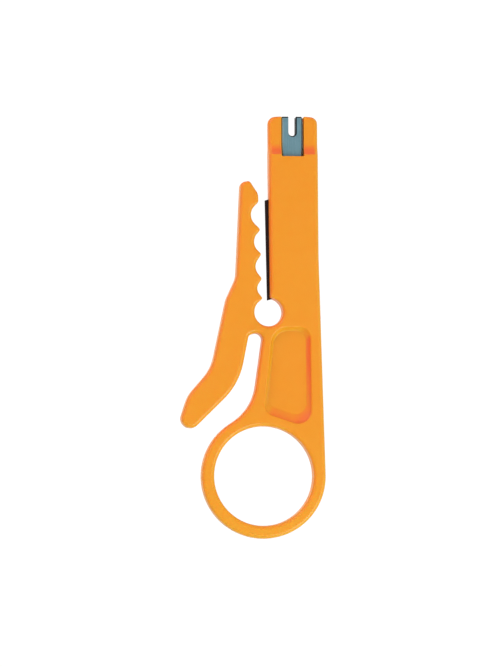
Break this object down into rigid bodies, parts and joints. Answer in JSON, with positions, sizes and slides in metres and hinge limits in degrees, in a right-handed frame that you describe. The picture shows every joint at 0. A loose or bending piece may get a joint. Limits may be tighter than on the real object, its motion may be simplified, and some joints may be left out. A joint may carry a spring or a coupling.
{
  "type": "punch down tool",
  "caption": "Flat pocket cable stripper with a finger ring, a sprung notched jaw that closes on a strip blade, and a forked steel punch end for wire terminals.",
  "frame": {"origin": "middle of the tool's footprint, on its back face", "axes": "+Z is the thickness, from the back face to the front face; +Y runs along the spine from the finger ring to the punch tip; +X points away from the jaw"},
  "size_m": [0.0323, 0.0941, 0.0055],
  "materials": {
    "orange_plastic": "injection-moulded orange plastic, satin, with a fine moulded texture",
    "dark_blade_steel": "hardened strip steel with a dark oiled finish and a ground edge",
    "punch_steel": "folded sheet steel, grey-blue, lightly brushed"
  },
  "bodies": {
    "frame": {"handle_body": "orange_plastic", "hinge_web": "orange_plastic", "strip_blade": "dark_blade_steel", "punch_blade": "punch_steel"},
    "jaw": {"jaw_arm": "orange_plastic"}
  },
  "joints": [
    {"name": "jaw_flex", "type": "hinge", "parent": "frame", "child": "jaw", "pos_m": [0.00163, -0.00041, 0.00275], "axis": [0, 0, 1], "range_deg": [-2.8, 10], "stiffness_Nm_per_rad": 0.4, "deforming": ["hinge_web"]}
  ]
}
